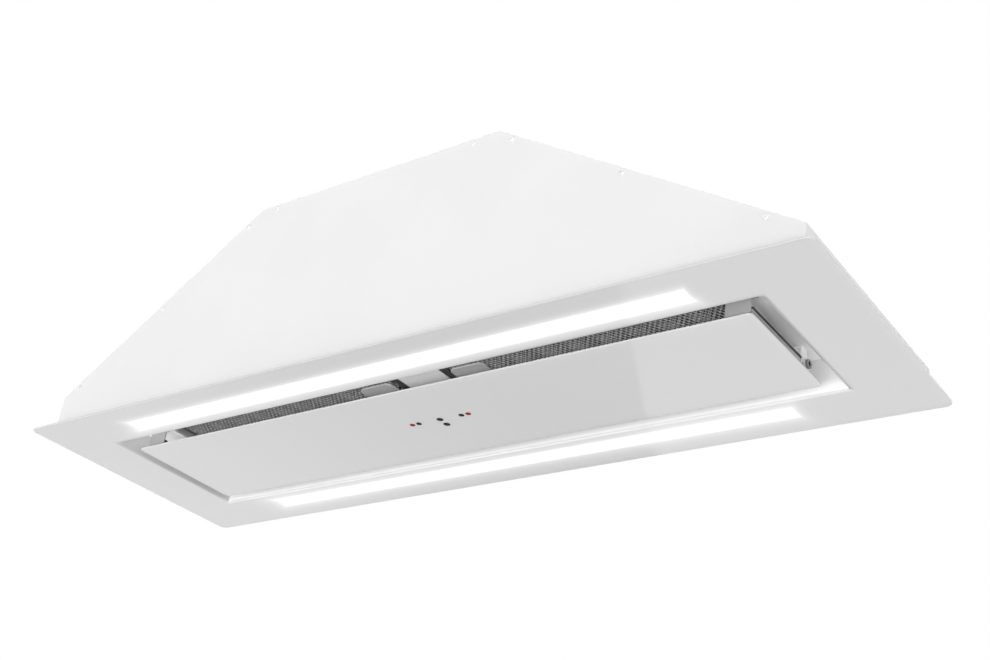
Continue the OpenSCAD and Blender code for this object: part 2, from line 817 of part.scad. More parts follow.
// Printed discs on the underside of the panel
module touch_marks(places) {
    for (p = places) translate([touch_x + p[0], touch_y + p[1], panel_z - mark_t])
        cylinder(r = p[2], h = mark_t);
}

// Right filter frame with two tongues over the deck and a slot for the latch bolt
module filter_frame() {
    w = filter_back - filter_front;
    color("silver") difference() {
        union() {
            block([filter_x, filter_front, deck_z], [filter_x + filter_l, filter_back, deck_z + filter_t]);
            for (s = [-1, 1]) translate([filter_x + filter_l, filter_y + s * w / 4 - tongue_w / 2, deck_top])
                cube([tongue_l, tongue_w, tongue_t]);
        }
        block([filter_x + bar_in, filter_front + bar_side, deck_z - 1],
              [filter_x + filter_l - bar_out, filter_back - bar_side, deck_z + filter_t + 1]);
        block([filter_x - 1, filter_y - bolt_w / 2 - latch_gap, bolt_z - latch_gap],
              [filter_x + bar_in + 1, filter_y + bolt_w / 2 + latch_gap, bolt_z + tongue_t + latch_gap]);
    }
}

// Right filter's pack of mesh, with the channel in which the latch bolt slides
module filter_mesh() {
    bolt_y = bolt_w / 2 + latch_gap;
    color("darkgray") difference() {
        block([filter_x + bar_in, filter_front + bar_side, deck_z + mesh_inset],
              [filter_x + filter_l - bar_out, filter_back - bar_side, deck_z + filter_t - mesh_inset]);
        block([filter_x + bar_in - 1, filter_y - bolt_y, deck_z],
              [stem_x + latch_travel + latch_gap, filter_y + bolt_y, bolt_z + tongue_t + latch_gap]);
    }
}

// Right filter's latch: the handle under the mesh, its grip, the stem and the bolt over the divider
module latch() {
    color("gainsboro") {
        translate([latch_x + latch_l / 2, filter_y, handle_z]) linear_extrude(latch_t)
            rounded_rect(latch_l, latch_w, latch_corner_r);
        block([latch_x + grip_in, filter_y - grip_l / 2, handle_z - grip_h],
              [latch_x + grip_in + grip_t, filter_y + grip_l / 2, handle_z]);
        block([latch_x, filter_y - bolt_w / 2, handle_z + latch_t], [stem_x, filter_y + bolt_w / 2, bolt_z]);
        block([divider_w / 2 - bolt_reach, filter_y - bolt_w / 2, bolt_z],
              [stem_x, filter_y + bolt_w / 2, bolt_z + tongue_t]);
    }
}

// Inner and outer lines of the scroll, from the neck's left wall round to its right wall
spiral_in = [for (a = [tongue_a:spiral_step:360]) polar(spiral_r(a), a)];
spiral_out = [for (a = [tongue_a + spiral_step:spiral_step:360]) polar(spiral_r(a) + blower_t, a)];
throat = [neck_left - blower_t, sqrt(pow(scroll_start + blower_t, 2) - pow(neck_left - blower_t, 2))];
scroll_in = concat([[neck_left, neck_top]], spiral_in, [[scroll_r, 0], [scroll_r, neck_top]]);
scroll_out = concat([[neck_left - blower_t, neck_top], throat], spiral_out,
                    [[scroll_r + blower_t, 0], [scroll_r + blower_t, neck_top]]);

// Spiral wall of the blower with the two side walls of its neck
module blower_band() {
    back = [for (i = [len(scroll_in) - 1:-1:0]) scroll_in[i]];
    color("silver") translate([blower_x, 0, blower_z])
        along_y(-plate_y, plate_y) polygon(concat(scroll_out, back));
}

// Flat side of the blower with its air inlet
module blower_side(y) {
    color("silver") translate([blower_x, 0, blower_z]) along_y(y, y + blower_t) difference() {
        polygon(scroll_out);
        circle(eye_r, $fn = 96);
    }
}

// Rounded ring pressed into each air inlet
module inlet_rings() {
    lip = 3;
    color("gainsboro") translate([blower_x, 0, blower_z]) for (m = [0, 1]) mirror([0, m, 0])
        translate([0, -plate_y - blower_t, 0]) rotate([-90, 0, 0]) rotate_extrude($fn = 96) {
            translate([eye_r - 1.5, -1]) square([1.4, inlet_d + 1]);
            translate([eye_r - 1.5, -1.2]) square([lip + 1.5, 1.2]);
            translate([eye_r - 0.75, -0.9]) circle(0.75);
        }
}

// Angles between the blower's neck and the top of the housing
module blower_hangers() {
    x = neck_half() + blower_t;
    color("silver") difference() {
        for (m = [0, 1]) mirror([m, 0, 0]) along_y(-hanger_w / 2, hanger_w / 2)
            polygon([[x, inner_h], [x + hanger_leg, inner_h], [x + hanger_leg, inner_h - 1.5],
                [x + 1.5, inner_h - 1.5], [x + 1.5, inner_h - hanger_leg], [x, inner_h - hanger_leg]]);
        on_hanger_screws() screw_holes();
    }
}

// Child placed on the blower's axis, with +Z pointing to the rear
module on_blower_axis() {
    translate([blower_x, 0, blower_z]) rotate([-90, 0, 0]) children();
}

// Double inlet impeller: a disc with a hub, curved blades on both sides and an end ring each
module impeller() {
    ring_in = impeller_r - blade_d;
    color("dimgray") on_blower_axis() difference() {
        union() {
            cylinder(r = impeller_r, h = disc_t, center = true, $fn = 96);
            cylinder(r = hub_r, h = hub_l, center = true);
            for (s = [-1, 1]) translate([0, 0, s * (impeller_w - disc_t) / 2]) difference() {
                cylinder(r = impeller_r, h = disc_t, center = true, $fn = 96);
                cylinder(r = ring_in, h = disc_t + 1, center = true, $fn = 96);
            }
            linear_extrude(impeller_w - disc_t, center = true)
                for (i = [0:blade_count - 1]) rotate(i * 360 / blade_count)
                    translate([impeller_r - blade_d / 2 - 0.6, 0]) rotate(blade_a)
                        square([blade_d - 0.6, blade_t], center = true);
        }
        cylinder(r = shaft_r + run_clear, h = hub_l + 2, center = true);
    }
}

module motor_shaft() {
    color("silver") on_blower_axis()
        translate([0, 0, shaft_start]) cylinder(r = shaft_r, h = motor_end + 3 - shaft_start);
}

// Motor casing behind the rear air inlet, with a boss at each end for a bearing
module motor() {
    color("slategray") on_blower_axis() difference() {
        union() {
            translate([0, 0, motor_y + 3]) cylinder(r = motor_r, h = motor_l - 6);
            translate([0, 0, motor_y + 1]) cylinder(r1 = motor_r - 4, r2 = motor_r, h = 2);
            translate([0, 0, motor_end - 3]) cylinder(r1 = motor_r, r2 = motor_r - 4, h = 2);
            translate([0, 0, motor_y]) cylinder(r = bearing_r + 4, h = motor_l);
        }
        translate([0, 0, motor_y - 1]) cylinder(r = shaft_r + 2, h = motor_l + 2);
        translate([0, 0, motor_y - 1]) cylinder(r = bearing_r + 0.05, h = bearing_w + 1);
        translate([0, 0, motor_end - bearing_w]) cylinder(r = bearing_r + 0.05, h = bearing_w + 1);
    }
}

module motor_bearings() {
    color("gainsboro") on_blower_axis() for (z = [motor_y, motor_end - bearing_w])
        translate([0, 0, z]) difference() {
            cylinder(r = bearing_r, h = bearing_w);
            translate([0, 0, -1]) cylinder(r = shaft_r + run_clear, h = bearing_w + 2);
        }
}

// Three armed bracket that clamps the motor and stands on the blower's rear side
module motor_bracket() {
    reach = eye_r + 18;
    color("silver") on_blower_axis() difference() {
        union() {
            translate([0, 0, motor_y + 4]) cylinder(r = motor_r + spider_t, h = spider_w);
            for (a = [90, 210, 330]) rotate([0, 0, a]) {
                translate([motor_r + 1, -spider_w / 2, motor_y + 4])
                    cube([reach - motor_r - 1, spider_w, spider_t]);
                translate([reach - spider_w, -spider_w / 2, plate_y + blower_t])
                    cube([spider_w, spider_w, motor_gap + 4]);
            }
        }
        translate([0, 0, motor_y]) cylinder(r = motor_r + run_clear, h = spider_w + 8);
    }
}

// Round collar on the top of the housing, with a base flange and a seat for the flaps
module duct_collar() {
    color("gray") difference() {
        union() {
            translate([0, 0, body_h]) cylinder(r = duct_r + duct_flange, h = duct_flange_t, $fn = 96);
            translate([0, 0, body_h]) cylinder(r = duct_r, h = duct_h, $fn = 96);
        }
        translate([0, 0, body_h - 1]) cylinder(r = bore_r - seat_w, h = duct_h + 2, $fn = 96);
        translate([0, 0, body_h - 1]) cylinder(r = bore_r, h = seat_h + 1, $fn = 96);
        translate([0, 0, body_h + seat_h + seat_t]) cylinder(r = bore_r, h = duct_h, $fn = 96);
        translate([0, 0, flap_pin_z]) rotate([90, 0, 0])
            cylinder(r = flap_pin_r + run_clear, h = 2 * duct_r + 2, center = true);
        on_collar_screws() screw_holes();
    }
}

module flap_pin() {
    color("silver") translate([0, 0, flap_pin_z]) rotate([90, 0, 0])
        cylinder(r = flap_pin_r, h = 2 * duct_r - 0.6, center = true);
}

// Half round flap on the side s, whose knuckles are moved along the pin by half a pitch
module flap(s) {
    shift = s * knuckle_l * 0.55;
    color("whitesmoke") difference() {
        union() {
            translate([0, 0, flap_z]) linear_extrude(flap_t) intersection() {
                circle(flap_r, $fn = 96);
                translate([s > 0 ? knuckle_r + 0.6 : -flap_r - 1, -flap_r])
                    square([flap_r - knuckle_r + 0.4, 2 * flap_r]);
            }
            for (y = [-2, 0, 2]) translate([0, y * knuckle_l * 1.1 + shift, 0]) {
                translate([0, 0, flap_pin_z]) rotate([90, 0, 0])
                    cylinder(r = knuckle_r, h = knuckle_l, center = true);
                translate([s * (knuckle_r + 1) / 2, 0, flap_z + flap_t / 2])
                    cube([knuckle_r + 1.4, knuckle_l, flap_t], center = true);
            }
        }
        translate([0, 0, flap_pin_z]) rotate([90, 0, 0])
            cylinder(r = flap_pin_r + run_clear, h = 2 * duct_r, center = true);
    }
}

// Electronics box on the rear panel, with a lid that overlaps its sides
module control_box() {
    color("slategray") {
        block([-control_x - control_l, inner_y - control_d + lid_t, control_z],
              [-control_x, inner_y, control_z + control_h]);
        block([-control_x - control_l - 1, inner_y - control_d, control_z - 1],
              [-control_x + 1, inner_y - control_d + lid_t, control_z + control_h + 1]);
    }
}

// Capacitor on the control box's right side, with a cap over its terminals
module run_capacitor() {
    color("silver") translate([-control_x, inner_y - capacitor_r - 1, capacitor_z]) rotate([0, 90, 0]) {
        cylinder(r = capacitor_r, h = capacitor_l);
        translate([0, 0, capacitor_l]) cylinder(r = capacitor_r * 0.6, h = 4);
    }
}

module lamp_driver() {
    color("white") {
        block([supply_x, inner_y - supply_d, control_z],
              [supply_x + supply_l, inner_y, control_z + supply_h]);
        block([supply_x - supply_ear, inner_y - 2, control_z + 3],
              [supply_x + supply_l + supply_ear, inner_y, control_z + supply_h - 3]);
    }
}

// Cable gland on the top, with its bore open for a mains cable
module cable_gland() {
    color("dimgray") translate([gland_x, gland_y, 0]) difference() {
        union() {
            translate([0, 0, inner_h - 9]) cylinder(r = gland_r, h = sheet_t + 9 + 3);
            translate([0, 0, inner_h - 6]) cylinder(r = gland_r * 1.4, h = 6, $fn = 6);
            translate([0, 0, body_h]) cylinder(r = gland_r * 1.4, h = 5, $fn = 6);
            translate([0, 0, body_h + 5]) cylinder(r = gland_r * 1.2, h = gland_h - 9);
            translate([0, 0, body_h + gland_h - 4]) cylinder(r1 = gland_r * 1.2, r2 = gland_r * 0.8, h = 4);
        }
        translate([0, 0, inner_h - 10]) cylinder(r = gland_bore_r, h = gland_h + 14);
    }
}

frame_plate();
sealing_strip();
base_plate();
recess_front_wall();
recess_rear_wall();
recess_end_wall(-1);  // recess_left_wall
recess_end_wall(1);  // recess_right_wall
filter_deck();
hinge_trough();
front_panel();
rear_panel();
left_end_wall();
right_end_wall();
left_slope_panel();
right_slope_panel();
top_panel();
corner_angles();
housing_screws();
light_channel(-1);  // front_light_channel
light_channel(1);  // rear_light_channel
lamp_board(-1);  // front_lamp_board
lamp_board(1);  // rear_lamp_board
diffuser(-1);  // front_diffuser
diffuser(1);  // rear_diffuser
suction_panel();
panel_backing();
mirror([1, 0, 0]) arm();  // left_arm
arm();  // right_arm
touch_control();
color("black") touch_marks(mark_places);  // dark_touch_marks
color("crimson") touch_marks(red_places);  // red_touch_marks
mirror([1, 0, 0]) hinge_bracket();  // left_hinge_bracket
hinge_bracket();  // right_hinge_bracket
hinge_pins();
catch_posts();
catch_magnets();
mirror([1, 0, 0]) filter_frame();  // left_filter_frame
filter_frame();  // right_filter_frame
mirror([1, 0, 0]) filter_mesh();  // left_filter_mesh
filter_mesh();  // right_filter_mesh
mirror([1, 0, 0]) latch();  // left_latch
latch();  // right_latch
blower_band();
blower_side(-plate_y - blower_t);  // blower_front_side
blower_side(plate_y);  // blower_rear_side
inlet_rings();
blower_hangers();
impeller();
motor_shaft();
motor();
motor_bearings();
motor_bracket();
duct_collar();
flap_pin();
flap(-1);  // left_flap
flap(1);  // right_flap
control_box();
run_capacitor();
lamp_driver();
cable_gland();
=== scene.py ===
import json
import math

import bmesh
import bpy
from mathutils import Euler, Matrix, Vector


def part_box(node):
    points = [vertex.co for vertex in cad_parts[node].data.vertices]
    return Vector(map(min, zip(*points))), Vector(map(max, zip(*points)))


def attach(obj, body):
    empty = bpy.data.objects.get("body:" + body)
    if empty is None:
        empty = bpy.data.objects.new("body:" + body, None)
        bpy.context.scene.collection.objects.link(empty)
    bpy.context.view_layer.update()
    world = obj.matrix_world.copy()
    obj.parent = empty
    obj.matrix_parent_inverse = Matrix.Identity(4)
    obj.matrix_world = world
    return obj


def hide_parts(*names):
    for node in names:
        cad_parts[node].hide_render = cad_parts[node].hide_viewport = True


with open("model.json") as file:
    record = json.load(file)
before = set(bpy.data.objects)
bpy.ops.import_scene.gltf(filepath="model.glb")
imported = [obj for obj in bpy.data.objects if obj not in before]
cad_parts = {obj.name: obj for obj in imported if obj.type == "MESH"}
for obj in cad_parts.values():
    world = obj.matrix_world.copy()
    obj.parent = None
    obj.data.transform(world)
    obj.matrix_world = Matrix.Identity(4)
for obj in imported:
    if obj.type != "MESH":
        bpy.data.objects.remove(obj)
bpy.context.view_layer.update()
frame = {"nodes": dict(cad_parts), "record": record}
slot_of = {part["node"]: part["material_slot"] for part in frame["record"]["subparts"]}
body_of_node = {n: b for b, nodes in frame["record"]["behaviour"]["bodies"].items() for n in nodes}
MM = 0.001
# Angles between faces, in degrees, above which an edge is rounded and shaded sharp
ROUNDED_ANGLE = 28
SHARP_ANGLE = 40
# Lit stretch of each light strip along the hood
LIT_FRONT = (-0.328, 0.327)
LIT_REAR = (-0.320, 0.317)
# Share of the light that is painted on the plate at the edge of a strip, as a halo
PAINTED_HALO = 0.36
# Base tone and roughness of the white coat inside the recess
RECESS_WHITE = 0.93
RECESS_ROUGH = 0.3
# Base tone of the glossy enamel and of the diffusers, and how strongly the strips shine and the
# painted halo on the plate shines
GLOSS_TONE = 0.75
STRIP_POWER = 0.6
# Strands of the filters, in mm: width, depth, height of the dark core behind them, which is
# painted shade deep in the filter, and the room that they leave round the latch bolt
STRAND_WIDTH = 0.95
STRAND_DEPTH = 0.35
CORE_LIFT = 2.2
BOLT_ROOM = 0.8
# Layers of strands: height, cell length and pitch in mm, lean in radians, shift in mm
STRAND_LAYERS = ((0.6, 7.0, 2.4, 0.5, 0.0), (1.7, 8.4, 2.85, -0.5, 1.3))
# Height of the floor and half its width
FLOOR_Z = -1.75
FLOOR_HALF = 14


# Shader wiring

class Wire:
    """An output socket that takes part in plain arithmetic."""

    def __init__(self, tree, socket):
        self.tree = tree
        self.socket = socket

    def _do(self, operation, *values):
        return self.tree.add("ShaderNodeMath", {"operation": operation}, dict(enumerate(values)))

    def __add__(self, other):
        return self._do("ADD", self, other)

    def __sub__(self, other):
        return self._do("SUBTRACT", self, other)

    def __mul__(self, other):
        return self._do("MULTIPLY", self, other)

    def __truediv__(self, other):
        return self._do("DIVIDE", self, other)

    def __pow__(self, other):
        return self._do("POWER", self, other)

    def __rsub__(self, other):
        return self._do("SUBTRACT", other, self)

    def __rtruediv__(self, other):
        return self._do("DIVIDE", other, self)

    def __neg__(self):
        return self._do("MULTIPLY", self, -1)

    def __abs__(self):
        return self._do("ABSOLUTE", self)

    __radd__ = __add__
    __rmul__ = __mul__

    def max(self, other):
        return self._do("MAXIMUM", self, other)

    def min(self, other):
        return self._do("MINIMUM", self, other)

    def step(self, low, high):
        """0 below low, 1 above high, smooth between."""
        return self.tree.add("ShaderNodeMapRange", {"interpolation_type": "SMOOTHSTEP"},
                             {"Value": self, "From Min": low, "From Max": high})


class Tree:
    """The node tree of a material or of the world."""

    def __init__(self, owner):
        owner.use_nodes = True
        self.tree = owner.node_tree
        self.tree.nodes.clear()

    def add(self, kind, settings=None, inputs=None, output=0):
        node = self.tree.nodes.new(kind)
        for name, value in (settings or {}).items():
            setattr(node, name, value)
        for name, value in (inputs or {}).items():
            if isinstance(value, Wire):
                self.tree.links.new(value.socket, node.inputs[name])
            else:
                node.inputs[name].default_value = value
        return Wire(self, node.outputs[output]) if len(node.outputs) else node

    def point(self):
        """The point in the object's own frame."""
        return self.add("ShaderNodeTexCoord", output="Object")

    def place(self):
        """The point, as a vector and as its three lengths."""
        point = self.point()
        return point, self.split(point)

    def split(self, vector):
        """The three parts of a vector."""
        node = self.add("ShaderNodeSeparateXYZ", None, {0: vector}).socket.node
        return [Wire(self, part) for part in node.outputs]

    def noise(self, point, scale, detail=2.0, roughness=0.5):
        """Cloudy values from 0 to 1, about 0.5 on average."""
        return self.add("ShaderNodeTexNoise", None,
                        {"Vector": point, "Scale": scale, "Detail": detail, "Roughness": roughness})

    def cells(self, point, scale, output="Color"):
        """One random colour for each cell, or the distance to its middle."""
        return self.add("ShaderNodeTexVoronoi", None, {"Vector": point, "Scale": scale}, output)

    def stretch(self, point, x, y, z):
        """The point scaled along each axis, for a grain that runs one way."""
        return self.add("ShaderNodeMapping", {"vector_type": "POINT"},
                        {"Vector": point, "Scale": (x, y, z)})

    def tint(self, amount, low, high):
        """The colour between two greys or colours at an amount from 0 to 1."""
        return self.add("ShaderNodeMix", {"data_type": "RGBA"},
                        {0: amount, 6: colour(low), 7: colour(high)}, 2)

    def grey(self, amount):
        """The grey of an amount from 0 to 1."""
        return self.tint(amount, 0.0, 1.0)

    def bump(self, height, strength, distance):
        """The surface direction that a height gives, at a distance in metres."""
        return self.add("ShaderNodeBump", None,
                        {"Height": height, "Strength": strength, "Distance": distance})


def colour(value):
    """A grey level or three parts, as a colour with full alpha."""
    return (value, value, value, 1) if isinstance(value, (int, float)) else (*value, 1)


class Finish(Tree):
    """A material with one surface shader whose varying values come from wires."""

    def __init__(self, name):
        self.material = bpy.data.materials.new(name)
        super().__init__(self.material)

    def surface(self, **values):
        """The finished material; a value's name is its socket's name."""
        shader = self.add("ShaderNodeBsdfPrincipled", None,
                          {name.replace("_", " "): value for name, value in values.items()})
        self.add("ShaderNodeOutputMaterial", None, {"Surface": shader})
        return self.material


# Finishes, one for each material slot

def powder_coat(name, base, rough=0.42, shade=None, painted_glow=None, power=0.0):
    """Satin powder coat; shade darkens it with painted shade and painted_glow lights it with
    painted light, by the place on the piece.
    """
    f = Finish(name)
    point, place = f.place()
    cloud = f.noise(point, 9, 3)
    grain = f.noise(point, 900, 2)
    fine = f.noise(point, 3200, 1)
    tone = cloud.step(0.35, 0.65) * 0.02 + 0.99
    if shade:
        tone = tone * shade(*place)
    values = dict(
        Base_Color=f.grey(tone * base),
        Roughness=rough + (cloud - 0.5) * 0.08 + (fine - 0.5) * 0.05,
        Specular_IOR_Level=0.3,
        Normal=f.bump(grain + fine * 0.3, 0.35, 0.00006))
    if painted_glow:
        values["Emission_Color"] = f.grey(painted_glow(*place))
        values["Emission_Strength"] = power
    return f.surface(**values)


def deck_shade(x, y, z):
    """Painted shade: the filter deck is darker in the middle than at its ends."""
    return abs(x).step(0.1, 0.3) * 0.32 + 0.68


def lip_shade(x, y, z):
    """Painted shade: the rear wall darkens upward, away from the strip, except at its right end."""
    return 1 - z.step(-MM, 5 * MM) * (1 - x.step(0.3, 0.38)) * 0.25


def painted_recess_glow(reach, right_share=1.0, left_end=0.0, right_end=0.0):
    """Painted light inside the recess, standing in for light of the strips: behind the front strip
    and at both ends.
    """
    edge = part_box("recess_rear_wall")[0].y

    def painted_glow(x, y, z):
        near_strip = (reach - edge - y).max(0) / reach
        right = x.step(0.1, 0.3)
        at_left = (-x).step(0.2, 0.32) * left_end
        at_right = right * (y.step(0, 60 * MM) + 0.8) * right_end
        return near_strip * (1 - right * (1 - right_share)) + at_left + at_right

    return painted_glow


def strip_light_and_painted_halo(f, x, y):
    """Light of the strips: full inside their lit stretch, and a painted halo that fades outside,
    which shines on the frame plate.

    It fades more slowly past the left end than past the right one.
    """
    lo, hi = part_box("front_diffuser")
    rear = y.step(-MM, MM)
    left = x - (LIT_FRONT[0] + rear * (LIT_REAR[0] - LIT_FRONT[0]))
    right = (LIT_FRONT[1] + rear * (LIT_REAR[1] - LIT_FRONT[1])) - x
    middle = abs(y) + (lo.y + hi.y) / 2
    side = (hi.y - lo.y) / 2 - abs(middle)
    inside = (left * 0.35).min(right * 1.6).min(side - middle * 0.06)
    inner = (-middle).step(-10 * MM, 10 * MM)
    reach = 3.3 * MM + inner * 3.2 * MM + rear * (4.2 - inner * 2) * MM
    out_x = (left * -0.7).max(right * -1.5).max(0)
    out_y = (-side).max(0)
    away = (out_x * out_x + out_y * out_y) ** 0.5
    fade = f.add("ShaderNodeMath", {"operation": "EXPONENT"}, {0: away / reach * -1})
    edge = PAINTED_HALO * ((rear * 0.15 + 0.65).max(inner))
    return fade * edge + inside.step(-0.5 * MM, 6 * MM) * (1 - edge)


def rolled_rim(x, y, node, width, sag):
    """Height of a plate whose outer edge falls away in a shallow curve."""
    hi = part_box(node)[1]
    inside = (hi.x - abs(x)).min(hi.y - abs(y))
    return (1 - inside / width).max(0) ** 1.4 * -sag


def rolled_opening(x, y, width, sag):
    """Height of the frame plate round the suction opening, where it rolls up into the recess."""
    half_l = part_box("recess_right_wall")[0].x
    half_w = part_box("recess_rear_wall")[0].y
    outside = (abs(x) - half_l).max(abs(y) - half_w)
    depth = (y + half_w).step(0, 6 * MM) * 0.6 + 0.4
    return (1 - outside / width).max(0).min(1) ** 2 * depth * -sag


def gloss_enamel(name, base, node, painted_side_shade, light=0.0):
    """Glossy enamel with a rolled rim; the narrow side faces of the plate are greyer, a painted
    shade.
    """
    f = Finish(name)
    point, (x, y, _) = f.place()
    cloud = f.noise(point, 14, 2)
    peel = (f.noise(point, 26, 1) - 0.5) * 0.008 * MM
    rim = rolled_rim(x, y, node, 6.5 * MM, 0.3 * MM)
    if node == "frame_plate":
        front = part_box(node)[0].y
        rim = rim * (y - front).step(0, 9 * MM) + rolled_opening(x, y, 4.5 * MM, 1.6 * MM)
    facing = f.split(f.add("ShaderNodeTexCoord", output="Normal"))[2]
    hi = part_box(node)[1]
    from_rim = (hi.x - abs(x)).min(hi.y - abs(y))
    # Away from the flat faces, on the narrow sides near the rim, the tone drops to the painted side
    # shade
    flat = abs(facing).step(0.5, 0.97).max(from_rim.step(2 * MM, 3 * MM))
    values = dict(
        Base_Color=f.tint(flat - cloud * 0.02, base * painted_side_shade, base),
        Roughness=0.05 + (f.noise(point, 60, 2) - 0.5) * 0.02,
        Normal=f.bump(rim + peel, 1.0, 1.0))
    # With light, the plate shines with the painted halo of the strips
    if light:
        values["Emission_Color"] = f.grey(strip_light_and_painted_halo(f, x, y))
        values["Emission_Strength"] = light
    return f.surface(**values)


def galvanised(name, base):
    """Zinc coated sheet with dull flakes and fine scratches along X."""
    f = Finish(name)
    point = f.point()
    flake = f.add("ShaderNodeSeparateColor", None, {0: f.cells(point, 160)})
    cloud = f.noise(point, 12, 3)
    scratch = f.noise(f.stretch(point, 40, 900, 900), 1, 3)
    return f.surface(
        Base_Color=f.tint(flake * 0.6 + cloud * 0.4, base * 0.84, base * 1.14),
        Metallic=0.9 + (cloud - 0.5) * 0.1,
        Roughness=0.38 + (flake - 0.5) * 0.16 + (scratch - 0.5) * 0.08,
        Normal=f.bump(flake + scratch * 0.3, 0.12, 0.0001))


def brushed(name, base, rough, along=(30, 900, 900), metallic=1.0, wear=0.08):
    """Bare or clear coated metal with a fine grain; along gives its scale on each axis."""
    f = Finish(name)
    point = f.point()
    line = f.noise(f.stretch(point, *along), 1, 4, 0.6)
    cloud = f.noise(point, 25, 3)
    return f.surface(
        Base_Color=f.tint(line * 0.5 + cloud * 0.5, base * (1 - wear), base * (1 + wear)),
        Metallic=metallic,
        Roughness=rough + (line - 0.5) * 0.14 + (cloud - 0.5) * 0.08,
        Normal=f.bump(line, 0.08, 0.00005))


def strand_metal(name, leg, painted_glint, spacing):
    """Bright metal of the strands, with a painted glint where strands meet and grey between."""
    f = Finish(name)
    point, (_, y, _) = f.place()
    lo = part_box("left_filter_mesh")[0]
    phase = (y - lo.y) * (math.pi / spacing)
    wave = abs(f.add("ShaderNodeMath", {"operation": "COSINE"}, {0: phase}))
    grain = f.noise(point, 2000, 2)
    patch = f.noise(point, 330, 1).step(0.35, 0.6)
    return f.surface(
        Base_Color=f.tint((wave ** 6) * (patch * 0.8 + 0.2) + (grain - 0.5) * 0.4, leg, painted_glint),
        Metallic=0.3,
        Roughness=0.3 + (grain - 0.5) * 0.2,
        Normal=f.bump(grain, 0.15, 0.00005))


def pin_steel(name, base):
    """Turned steel of the hinge screws, with painted shade inside the cross recess of the head."""
    f = Finish(name)
    point, (x, y, z) = f.place()
    lo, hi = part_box("hinge_pins")
    off_y = abs(y - (lo.y + hi.y) / 2)
    off_z = abs(z - (lo.z + hi.z) / 2)
    cross = 1 - (off_y.min(off_z)).step(0.9 * MM, 1.3 * MM)
    in_reach = 1 - off_y.max(off_z).step(2.3 * MM, 2.6 * MM)
    cross = cross * in_reach * abs(x).step(hi.x - 3 * MM, hi.x - 2.6 * MM)
    turn = f.noise(f.stretch(point, 900, 60, 60), 1, 3)
    return f.surface(
        Base_Color=f.tint(cross, base, base * 0.05),
        Metallic=0.5 - cross * 0.5,
        Roughness=0.3 + (turn - 0.5) * 0.15 + cross * 0.4,
        Normal=f.bump(turn, 0.08, 0.00005))


def arm_steel(name, base):
    """Grey coated steel of the arms, with painted shade in a dark groove under the bead along the
    top, in a fold below it that fades toward the rear and in a dark notch before the lighter ear;
    the bead is lighter, a painted highlight."""
    f = Finish(name)
    point, (_, y, z) = f.place()
    lo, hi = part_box("right_arm")
    up = z - lo.z
    ear = y.step(hi.y - 13.5 * MM, hi.y - 12.5 * MM)
    bead = up.step(6.4 * MM, 6.7 * MM)
    groove = (up.step(4.4 * MM, 4.8 * MM) - bead).max(0)
    fold = (up.step(1.7 * MM, 2 * MM) - up.step(2.5 * MM, 2.8 * MM)) * 0.6
    fold = fold * (1 - (y - lo.y).step(0.3 * (hi.y - lo.y), 0.7 * (hi.y - lo.y)))
    notch = y.step(hi.y - 15.5 * MM, hi.y - 15 * MM) * (1 - bead)
    groove = groove.max(fold).max(notch) * (1 - ear)
    line = f.noise(f.stretch(point, 30, 900, 900), 1, 4, 0.6)
    shade = ((bead * 0.1).max(ear * 0.3) + base) * (1 - groove * 0.93) + (line - 0.5) * 0.05
    return f.surface(
        Base_Color=f.grey(shade),
        Metallic=0.3,
        Roughness=0.38 + (line - 0.5) * 0.14,
        Normal=f.bump(line, 0.08, 0.00005))


def plastic(name, base, rough=0.5, grain=1400):
    """Moulded plastic with a fine eroded texture."""
    f = Finish(name)
    point = f.point()
    fine = f.noise(point, grain, 2)
    cloud = f.noise(point, 30, 2)
    return f.surface(
        Base_Color=f.tint(cloud, [c * 0.95 for c in base], [c * 1.05 for c in base]),
        Roughness=rough + (cloud - 0.5) * 0.08,
        Normal=f.bump(fine, 0.18, 0.00006))


def opal(name, base, light):
    """Milky diffuser that shines over the lit stretch of the strips."""
    f = Finish(name)
    point, (x, y, _) = f.place()
    return f.surface(
        Base_Color=f.tint(f.noise(point, 70, 2), base * 0.99, base),
        Roughness=0.14 + (f.noise(point, 500, 1) - 0.5) * 0.06,
        Emission_Color=f.grey(strip_light_and_painted_halo(f, x, y)),
        Emission_Strength=light,
        Normal=f.bump(f.noise(point, 700, 1), 0.05, 0.00004))


def foam(name, base):
    """Open pored sealing foam."""
    f = Finish(name)
    point = f.point()
    pore = f.cells(point, 1500, "Distance")
    return f.surface(
        Base_Color=f.tint(pore, [c * 0.6 for c in base], [c * 1.3 for c in base]),
        Roughness=0.9 - pore * 0.1,
        Normal=f.bump(pore, 0.5, 0.0003))


def lacquer(name, base):
    """White lacquer over the glass weave of a lamp board."""
    f = Finish(name)
    point = f.point()
    weave = f.noise(f.stretch(point, 900, 900, 50), 1, 1)
    return f.surface(
        Base_Color=f.tint(weave, [c * 0.97 for c in base], base),
        Roughness=0.28 + (weave - 0.5) * 0.08,
        Normal=f.bump(weave, 0.1, 0.00003))


def printed(name, base):
    """Printed ink of the touch marks."""
    f = Finish(name)
    point = f.point()
    speck = f.noise(point, 2600, 1)
    return f.surface(
        Base_Color=f.tint(speck, [c * 0.85 for c in base], [c * 1.15 for c in base]),
        Roughness=0.3 + (speck - 0.5) * 0.05,
        Specular_IOR_Level=0.08)


